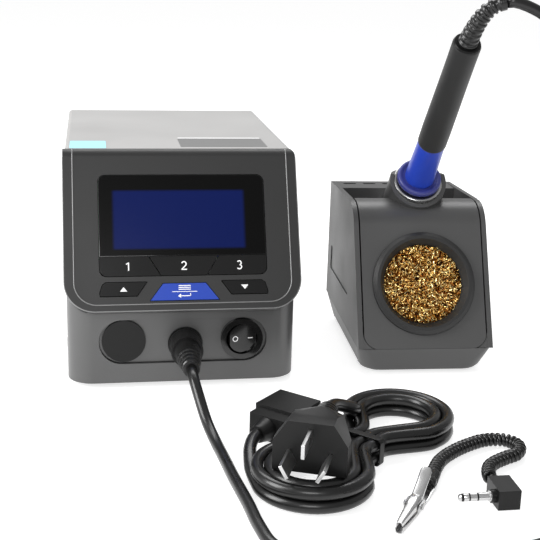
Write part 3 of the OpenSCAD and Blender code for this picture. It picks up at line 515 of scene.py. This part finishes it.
# --------------------------------------------------------------- brass wool
tones = {
    "brass_a": material("brass_a", (0.94, 0.74, 0.44), 0.26, metallic=1.0, noise=9000, vary=0.3, bump=0.0),
    "brass_b": material("brass_b", (1.0, 0.86, 0.6), 0.24, metallic=1.0, noise=9000, vary=0.2, bump=0.0),
    "brass_c": material("brass_c", (0.68, 0.43, 0.2), 0.34, metallic=1.0, noise=9000, vary=0.4, bump=0.0),
    "wool_deep": material("wool_deep", (0.26, 0.16, 0.07), 0.6, metallic=0.6, noise=9000, vary=0.5, bump=0.4, bump_scale=3000),
}
M.update(tones)
base = lathe("wool_core", [(0, -33.8), (24.6, -33.8), (24.9, -33), (24.9, -6), (20, -5), (10, -4.2), (0, -4)], PLATE @ Matrix.Translation((0, 37, 0)), "wool_deep", 60)
finish_piece(base, "cleaner", None, ("brass_wool",))
rng = random.Random(3)
for tone, count, depth in (("brass_c", 620, -4.0), ("brass_a", 900, -2.8), ("brass_b", 480, -2.0)):
    verts, faces = [], []
    for k in range(count):
        rad, th = 23.2 * math.sqrt(rng.random()), rng.random() * 2 * math.pi
        cx, cy = rad * math.cos(th), 37 + rad * math.sin(th)
        bulge = 1.6 * (1 - (rad / 23.2) ** 2)
        cz = depth + bulge + rng.uniform(-1.4, 1.2)
        ax = Vector((rng.gauss(0, 1), rng.gauss(0, 1), rng.gauss(0, 0.8))).normalized()
        p = ax.orthogonal().normalized()
        q = ax.cross(p)
        cr, wdt, turn = rng.uniform(0.6, 2.4), rng.uniform(0.22, 0.55), rng.uniform(2.2, 8.5)
        rise, ph = rng.uniform(0.3, 0.9), rng.random() * 6.283
        seg = max(8, int(turn * 3.2))
        first = len(verts)
        for j in range(seg + 1):
            a = ph + turn * j / seg
            rr = cr * (1 + 0.25 * math.sin(a * 0.7 + k))
            c = Vector((cx, cy, cz)) + p * (rr * math.cos(a)) + q * (rr * math.sin(a)) + ax * (rise * (a - ph - turn / 2))
            c.z = min(c.z, 1.0)
            lim = math.hypot(c.x, c.y - 37)
            if lim > 22.2 and c.z > -1.6:
                c.x, c.y = c.x * 22.2 / lim, 37 + (c.y - 37) * 22.2 / lim
            elif lim > 24.8:
                c.x, c.y = c.x * 24.8 / lim, 37 + (c.y - 37) * 24.8 / lim
            tw = ax * (wdt / 2) + (p * math.cos(a) + q * math.sin(a)) * (wdt * 0.2 * math.sin(3 * a))
            verts += [c - tw, c + tw]
            if j:
                b = first + 2 * j
                faces.append((b - 2, b, b + 1, b - 1))
    o = mesh_object("wool_" + tone, verts, faces, tone, matrix=PLATE)
    finish_piece(o, "cleaner")

# ------------------------------------------------------------------- prints
GRP = {}


def plate_mesh(name, polys, matrix, z0, z1, mname):
    """Flat printed or stuck-on shapes: closed outlines in local x, y, from z0 to z1."""
    bm = bmesh.new()
    for poly in polys:
        lo = [bm.verts.new((x, y, z0)) for x, y in poly]
        hi = [bm.verts.new((x, y, z1)) for x, y in poly]
        n = len(poly)
        bm.faces.new(hi)
        bm.faces.new(lo[::-1])
        for k in range(n):
            bm.faces.new((lo[k], lo[(k + 1) % n], hi[(k + 1) % n], hi[k]))
    bmesh.ops.recalc_face_normals(bm, faces=bm.faces)
    bmesh.ops.triangulate(bm, faces=[f for f in bm.faces if len(f.verts) > 4])
    me = bpy.data.meshes.new(name)
    bm.to_mesh(me)
    bm.free()
    o = link(bpy.data.objects.new(name, me))
    o.matrix_world = matrix
    dress(o, mname)
    return o


def stroke(pts, w):
    """Outline of a line of width w through 2-D points."""
    P = [Vector((x, y)) for x, y in pts]
    L, R = [], []
    for i, p in enumerate(P):
        a = (P[i] - P[i - 1]).normalized() if i else (P[1] - P[0]).normalized()
        b = (P[i + 1] - P[i]).normalized() if i < len(P) - 1 else a
        t = (a + b).normalized()
        nn = Vector((-t.y, t.x)) * (w / 2 / max(0.5, t.dot(a)))
        L.append(tuple(p + nn))
        R.append(tuple(p - nn))
    return R + L[::-1]


def arc(cx, cy, rx, ry, a0, a1, n=14):
    return [(cx + rx * math.cos(math.radians(a0 + (a1 - a0) * k / n)), cy + ry * math.sin(math.radians(a0 + (a1 - a0) * k / n))) for k in range(n + 1)]


def shift(polys, x, y, s=1.0):
    return [[(x + s * a, y + s * b) for a, b in poly] for poly in polys]


W = 0.62
one = [stroke([(0.35, -2.2), (0.35, 2.2)], W), stroke([(0.4, 2.0), (-0.9, 1.2)], W * 0.85)]
two = [stroke(arc(0, 1.0, 1.15, 1.2, 165, -35) + [(-1.15, -1.9)], W), stroke([(-1.4, -1.95), (1.5, -1.95)], W)]
three = [stroke(arc(0, 1.05, 1.05, 1.1, 150, -80), W), stroke(arc(0, -1.05, 1.2, 1.15, 88, -150), W)]
PRINT_Z = (0.19, 0.24)
for body, polys, at in (("key_1_body", one, (-29.5, 23.6)), ("key_2_body", two, (0, 23.6)), ("key_3_body", three, (29.5, 23.6))):
    o = plate_mesh("digit_" + body[4], shift(polys, *at), PANEL, *PRINT_Z, "white_print")
    finish_piece(o, body)
tri = [[(-1.9, -1.15), (1.9, -1.15), (0, 1.25)]]
o = plate_mesh("mark_up", shift(tri, -32, 11.5), PANEL, 0.29, 0.34, "white_print")
finish_piece(o, "key_up_body")
o = plate_mesh("mark_down", [[(32 + a, 11.7 - b) for a, b in tri[0]]], PANEL, 0.29, 0.34, "white_print")
finish_piece(o, "key_down_body")
menu = [[(x0, y0), (x1, y0), (x1, y1), (x0, y1)] for x0, x1, y0, y1 in (
    (-3.2, 3.2, 12.75, 13.2), (-3.2, 3.2, 11.75, 12.2), (-3.2, 3.2, 10.75, 11.2), (-6.6, 6.6, 9.62, 9.92), (-2.2, 3.2, 7.3, 7.75), (2.75, 3.2, 7.3, 8.9))]
menu.append([(-2.0, 6.4), (-2.0, 8.65), (-3.7, 7.52)])
o = plate_mesh("mark_menu", menu, PANEL, 0.29, 0.34, "white_print")
finish_piece(o, "key_menu_body")
# marks on the rocker, which is turned 10 degrees in its housing
RA = math.radians(10)
ROCK = frame_matrix(S((31.6, 4, 26.6)), (math.cos(RA), math.sin(RA), 0), (0, 0, 1), (math.sin(RA), -math.cos(RA), 0))


def rock_z(x):
    return 64 - math.sqrt(60.2 ** 2 - x * x)


ringm = stroke(arc(0, 0, 1.35, 1.35, 0, 350, 30), 0.45)
o = plate_mesh("mark_off", shift([ringm], -4.3, 0), ROCK, rock_z(4.3) - 0.12, rock_z(4.3) + 0.14, "white_print")
finish_piece(o, "rocker")
o = plate_mesh("mark_on", [stroke([(2.9, 0), (5.6, 0)], 0.45)], ROCK, rock_z(4.2) - 0.12, rock_z(4.2) + 0.14, "white_print")
finish_piece(o, "rocker")

# --------------------------------------------------------- window and labels
def rounded(x0, x1, y0, y1, r, corners=(1, 1, 1, 1), n=8):
    """Closed outline; corners in the order lower right, upper right, upper left, lower left."""
    out = []
    for (cx, cy, a0), on in zip(((x1 - r, y0 + r, -90), (x1 - r, y1 - r, 0), (x0 + r, y1 - r, 90), (x0 + r, y0 + r, 180)), corners):
        if on:
            out += arc(cx, cy, r, r, a0, a0 + 90, n)
        else:
            out.append(((x1 if cx > (x0 + x1) / 2 else x0), (y0 if cy < (y0 + y1) / 2 else y1)))
    return out


glass = material("window_glass", grey(13), 0.2, noise=200, vary=0.1, bump=0.0, rough_vary=0.02, spec=0.04)
nt = glass.node_tree
bsdf = nt.nodes["Principled BSDF"]
tc = nt.nodes.new("ShaderNodeTexCoord")
sep = nt.nodes.new("ShaderNodeSeparateXYZ")
nt.links.new(tc.outputs["Object"], sep.inputs["Vector"])


def band(axis, lo, hi, soft):
    out = None
    for a, b in ((lo - soft, lo + soft), (hi + soft, hi - soft)):
        mr = nt.nodes.new("ShaderNodeMapRange")
        mr.interpolation_type = "SMOOTHSTEP"
        mr.inputs["From Min"].default_value, mr.inputs["From Max"].default_value = a, b
        nt.links.new(sep.outputs[axis], mr.inputs["Value"])
        if out is None:
            out = mr.outputs["Result"]
        else:
            mm = nt.nodes.new("ShaderNodeMath")
            mm.operation = "MULTIPLY"
            nt.links.new(out, mm.inputs[0])
            nt.links.new(mr.outputs["Result"], mm.inputs[1])
            out = mm.outputs["Value"]
    return out


bx, by = band("X", -36.6, 33.0, 1.2), band("Y", 33.0, 64.5, 0.9)
mm = nt.nodes.new("ShaderNodeMath")
mm.operation = "MULTIPLY"
nt.links.new(bx, mm.inputs[0])
nt.links.new(by, mm.inputs[1])
mix = nt.nodes.new("ShaderNodeMix")
mix.data_type = "RGBA"
mix.inputs["A"].default_value = (*lin(grey(13)), 1)
mix.inputs["B"].default_value = (*lin((0.06, 0.1, 0.29)), 1)
nt.links.new(mm.outputs["Value"], mix.inputs["Factor"])
nt.links.new(mix.outputs["Result"], bsdf.inputs["Base Color"])
M["window_glass"] = glass
o = plate_mesh("window_sheet", [rounded(-44.0, 44.0, 29.4, 72.9, 3.7, (0, 1, 1, 0))], PANEL, 0.02, 0.3, "window_glass")
finish_piece(o, "root")
M["label_blue"] = material("label_blue", (0.62, 0.86, 0.93), 0.35, noise=300, vary=0.03, bump=0.0)
M["label_grey"] = material("label_grey", grey(104), 0.4, noise=300, vary=0.05, bump=0.0)
o = plate_mesh("label_left", [rounded(-59.0, -39.5, 33, 56, 1.0)], SMAT, 125.3, 125.42, "label_blue")
finish_piece(o, "root")
o = plate_mesh("label_right", [rounded(1, 49, 37, 64.5, 1.0)], SMAT, 125.3, 125.42, "label_grey")
finish_piece(o, "root")
o = plate_mesh("label_right_edge", [[(1.4, 64.9), (48.6, 64.9), (48.6, 67), (1.4, 67)]], SMAT, 125.3, 125.42, "white_print")
finish_piece(o, "root")

# thin light tube round the panel plate, over the roll-over to the cover: a painted highlight for the bevel highlight
# along the groove
def panel_S(x, u, n=0.0):
    return Vector((x, -10 + 0.4384 * u - 0.8988 * n, 47 + 0.8988 * u + 0.4384 * n))


highlight_pts = []
hx, ub, rc = 57.55, 3.45, 12.0
RY, RZ, RR = 31.94, 119.3, 6.0
side = [panel_S(hx, ub + rc + (83.37 - ub - rc) * k / 12) for k in range(12)]
roll = [Vector((hx, RY + RR * math.cos(math.radians(154 - 64 * k / 14)), RZ + RR * math.sin(math.radians(154 - 64 * k / 14)))) for k in range(15)]
corner = [panel_S(hx - rc + rc * math.cos(math.radians(-90 + 90 * k / 14)), ub + rc + rc * math.sin(math.radians(-90 + 90 * k / 14))) for k in range(14)]
half = [panel_S(45 * k / 10, ub) for k in range(10)] + corner + side + roll
full = [Vector((-p.x, p.y, p.z)) for p in half[::-1]] + half[1:]
o = tube_mesh("panel_edge_highlight", [S(p) for p in full], 0.00032, 8, "painted_highlight")
finish_piece(o, "root")

# ------------------------------------------------------------- edges on CAD
WIDTHS = {"front_housing": 0.7, "panel_plate": 0.35, "top_cover": 0.25, "port_plate": 0.3, "blank_cap": 0.4, "switch_housing": 0.5, "switch_rocker": 0.3,
          "stand_body": 0.6, "stand_cover": 0.7, "stand_base": 0.5, "cleaner_cup": 0.5, "iron_plug": 0.5, "plug_boot": 0.25, "mains_plug": 1.5, "plug_pins": 0.3,
          "mains_connector": 1.4, "iron_flange": 0.4, "iron_nose": 0.2, "iron_grip": 0.3, "key_1": 0.15, "key_2": 0.15, "key_3": 0.15, "key_up": 0.2, "key_down": 0.2,
          "key_menu": 0.2, "display_window": 0.1, "holder_tube": 0.3, "iron_tip": 0.1, "clip_body": 0.15, "clip_jaw": 0.15, "ground_plug": 1.3, "cord_tie": 0.2,
          "rear_panel": 0.2, "mains_inlet": 0.3, "fuse_drawer": 0.2, "ground_jack": 0.15, "cover_screws": 0.1, "station_feet": 0.4, "stand_feet": 0.4}
for n, o in N.items():
    if o.hide_render:
        continue
    for at in ("custom_normal",):
        if at in o.data.attributes:
            o.data.attributes.remove(o.data.attributes[at])
    o.data.polygons.foreach_set("use_smooth", [True] * len(o.data.polygons))
    soften(o, WIDTHS.get(n, 0.12), 28)
    wn = o.modifiers.new("normals", "WEIGHTED_NORMAL")
    wn.mode = "FACE_AREA"
    wn.weight = 80
    wn.keep_sharp = True

# the upper moulding is finished darker than the lower body; the fine light tube along its rim is a painted highlight on
# the lip's edge
fh = N["front_housing"]
fh.data.materials.append(M["panel_grey"])
for p in fh.data.polygons:
    c = p.center
    x, y, z = c.x * 1000 + OX, c.y * 1000 + OY, c.z * 1000
    u = 0.4384 * (y + 10) + 0.8988 * (z - 47)
    nn = -0.8988 * (y + 10) + 0.4384 * (z - 47)
    p.material_index = 1 if (u > 0.6 and nn > -9.6 and (y < 31.9)) else 0
hx2, rc2 = 62.62, 16.0
low = [panel_S(hx2 - rc2 + rc2 * math.cos(math.radians(-90 + 90 * k / 16)), 0.08 + rc2 + rc2 * math.sin(math.radians(-90 + 90 * k / 16)), -0.35) for k in range(17)]
half2 = [panel_S(46.0 * k / 10, 0.08, -0.35) for k in range(10)] + low + [panel_S(hx2, 16 + (83 - 16) * k / 10, -0.35) for k in range(1, 11)]
full2 = [Vector((-p.x, p.y, p.z)) for p in half2[::-1]] + half2[1:]
o = tube_mesh("slab_rim_highlight", [S(p) for p in full2], 0.0004, 8, "painted_highlight")
finish_piece(o, "root")
# metal contact of the 3.5 mm ground jack plug
PIN = frame_matrix(S((128 - 5, -143 - 6, 4.8)), (0, 1, 0), (0, 0, 1), (-1, 0, 0))
o = lathe("jack_contact", [(2.4, 2.0), (2.4, 2.6), (1.83, 2.7), (1.83, 7.6), (1.6, 7.7), (1.6, 8.3), (1.83, 8.4), (1.83, 11.4), (1.6, 11.5), (1.6, 12.0), (1.83, 12.1),
                            (1.83, 14.2), (1.35, 14.9), (1.78, 15.6), (1.2, 16.4), (0.4, 16.7), (0, 16.7)], PIN, "chrome", 32)
finish_piece(o, "root")
PLUG = frame_matrix(S((55.1, -106.4, 13.4 + 11)), (-math.cos(math.radians(158)), -math.sin(math.radians(158)), 0), (0, 0, 1), (-math.sin(math.radians(158)), math.cos(math.radians(158)), 0))
prof = [(3.2, -12.4), (4.3, -12.2)]
for k in range(5):
    z0 = -11.6 + k * 3.1
    prof += [(4.75 + 0.42 * k, z0), (4.9 + 0.42 * k, z0 + 0.3), (5.05 + 0.42 * k, z0 + 1.9), (4.9 + 0.42 * k, z0 + 2.1), (4.2 + 0.42 * k, z0 + 2.3), (4.3 + 0.42 * k, z0 + 2.9)]
prof += [(6.6, 4.2), (6.4, 4.8)]
ribs = lathe("mains_plug_ribs", prof, PLUG, "cord_black", 40)
finish_piece(ribs, "root")
# soft sleeve on the clip's lead end, with ribs
CA = math.radians(-124)
CLIP = frame_matrix(S((100, -131, 4.5)), (-math.sin(CA), math.cos(CA), 0), (0, 0, 1), (math.cos(CA), math.sin(CA), 0))
prof = [(1.5, -7.5), (1.9, -7.0)]
for k in range(5):
    z0 = -6.6 + k * 1.5
    prof += [(2.15 + 0.16 * k, z0), (2.35 + 0.18 * k, z0 + 0.3), (2.35 + 0.18 * k, z0 + 0.9), (2.1 + 0.16 * k, z0 + 1.2)]
prof += [(3.0, 1.2), (3.15, 2.0), (3.15, 4.4), (2.9, 4.8), (2.6, 5.0)]
o = lathe("clip_sleeve", prof, CLIP, "cord_black", 40)
finish_piece(o, "root")
EXTRA = [o]


def channel(name, stations, matrix, mname, wall=0.45, n=12):
    """Bent sheet trough along local z: stations are (z, half width, crown y, rim y)."""
    verts, faces = [], []
    for z, hw, top, rim in stations:
        for w in (0, wall):
            for k in range(n + 1):
                a = math.pi * k / n
                c, sn = math.cos(a), math.sin(a)
                x = (hw - w) * (abs(c) ** 0.55) * (1 if c >= 0 else -1)
                verts.append((x, rim + (top - w - rim) * (sn ** 0.6 if sn > 1e-9 else 0), z))
    m, st = n + 1, 2 * (n + 1)
    for i in range(len(stations) - 1):
        a = i * st
        for k in range(n):
            faces.append((a + k, a + k + 1, a + st + k + 1, a + st + k))
            faces.append((a + m + k + 1, a + m + k, a + st + m + k, a + st + m + k + 1))
        for k in (0, n):
            faces.append((a + k, a + m + k, a + st + m + k, a + st + k))
    for a in (0, (len(stations) - 1) * st):
        for k in range(n):
            faces.append((a + k, a + k + 1, a + m + k + 1, a + m + k))
    o = mesh_object(name, verts, faces, mname, matrix=matrix)
    bm = bmesh.new()
    bm.from_mesh(o.data)
    bmesh.ops.recalc_face_normals(bm, faces=bm.faces)
    for e in bm.edges:
        if len(e.link_faces) == 2 and e.calc_face_angle(0) > 0.7:
            e.smooth = False
    bm.to_mesh(o.data)
    bm.free()
    return o


def lerp(a, b, t):
    return a + (b - a) * t


upper = [(20.6, 2.6, 2.6, 0.6), (22.5, 3.0, 3.6, -0.9), (25.5, 3.1, 3.9, -1.2), (29, 2.7, 3.2, -0.6)]
for k in range(27):
    t = k / 26
    upper.append((30 + 15 * t, lerp(2.6, 1.5, t), lerp(2.9, 1.3, t), -0.75 + (0.0 if k % 2 else 0.7)))
jaw = channel("clip_upper_jaw", upper, CLIP, "chrome")
finish_piece(jaw, "clip_lever", None, ("clip_jaw",))
LEV = CLIP @ Matrix.Translation((0, 1, 23.5)) @ Matrix(((1, 0, 0, 0), (0, 0.866, 0.5, 0), (0, 0.5, -0.866, 0), (0, 0, 0, 1)))
lever = channel("clip_lever_plate", [(-1.5, 2.6, 1.2, -1.0), (2, 2.6, 1.2, -1.1), (6, 2.5, 1.1, -0.9), (10, 2.5, 0.9, -0.8), (13, 2.6, 0.9, -0.6), (15.5, 2.5, 1.2, -0.1), (16.8, 1.9, 1.6, 0.5)], LEV, "chrome")
finish_piece(lever, "clip_lever")
DOWN = CLIP @ Matrix(((1, 0, 0, 0), (0, -1, 0, 0), (0, 0, 1, 0), (0, 0, 0, 1)))
lower = [(2.0, 3.3, 4.25, 0.5), (11, 3.5, 4.25, 0.3), (14, 3.3, 4.25, 1.6), (20, 3.2, 4.25, 1.4), (22.2, 3.7, 4.25, -1.7), (28.6, 3.6, 4.25, -1.6), (29.4, 3.0, 4.25, 1.6)]
for k in range(27):
    t = k / 26
    lower.append((30 + 15 * t, lerp(2.9, 1.8, t), 4.25, 1.5 + (0.0 if k % 2 else 0.7)))
low_jaw = channel("clip_lower_jaw", lower, DOWN, "chrome")
finish_piece(low_jaw, "root", None, ("clip_body",))
PIVOT = CLIP @ Matrix(((0, 0, 1, 0), (1, 0, 0, 0), (0, 1, 0, 25.5), (0, 0, 0, 1)))
pin = lathe("clip_pivot", [(0, -4.3), (1.4, -4.3), (1.6, -4.1), (1.6, -3.8), (1.0, -3.7), (1.0, 3.7), (1.6, 3.8), (1.6, 4.1), (1.4, 4.3), (0, 4.3)], PIVOT, "steel", 32)
finish_piece(pin, "root")
coil_pts = [CLIP @ Vector((-2.4 + 4.8 * k / 100, 1.75 * math.sin(2 * math.pi * 5 * k / 100), 25.5 + 1.75 * math.cos(2 * math.pi * 5 * k / 100))) for k in range(101)]
spring = tube_mesh("clip_spring", coil_pts, 0.00032, 8, "steel")
finish_piece(spring, "root")
EXTRA += [low_jaw, pin, spring]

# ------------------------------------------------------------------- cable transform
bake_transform(cable)

# -------------------------------------------------------------------- stage
floor = mesh_object("floor", [(-15, -8, 0), (15, -8, 0), (15, 22, 0), (-15, 22, 0)], [(0, 1, 2, 3)], None, False)
fm = bpy.data.materials.new("floor")
fm.use_nodes = True
fb = fm.node_tree.nodes["Principled BSDF"]
fb.inputs["Base Color"].default_value = (0.55, 0.55, 0.55, 1)
fb.inputs["Roughness"].default_value = 0.9
fb.inputs["Specular IOR Level"].default_value = 0.1
fb.inputs["Emission Color"].default_value = (1, 1, 1, 1)
fb.inputs["Emission Strength"].default_value = 0.7
floor.data.materials.append(fm)
world = bpy.data.worlds.new("world")
world.use_nodes = True
bg = world.node_tree.nodes["Background"]
bg.inputs["Color"].default_value = (1, 1, 1, 1)
bg.inputs["Strength"].default_value = 0.5
bpy.context.scene.world = world
bpy.context.scene.view_settings.view_transform = "Standard"


def area(name, loc, target, size, power, color=(1, 1, 1)):
    ld = bpy.data.lights.new(name, "AREA")
    ld.shape = "RECTANGLE"
    ld.size, ld.size_y = size
    ld.energy = power
    ld.color = color
    o = link(bpy.data.objects.new(name, ld))
    o.location = loc
    o.rotation_euler = (Vector(target) - Vector(loc)).to_track_quat("-Z", "Y").to_euler()
    return o


area("key_left", (-1.25, -0.25, 0.75), (0, 0, 0.05), (0.7, 1.0), 24)
area("top_rear", (0.0, 0.7, 1.15), (0, 0, 0.08), (1.3, 0.6), 13)
area("fill_front", (-0.35, -1.5, 0.9), (0.05, 0, 0.08), (0.7, 0.5), 9)
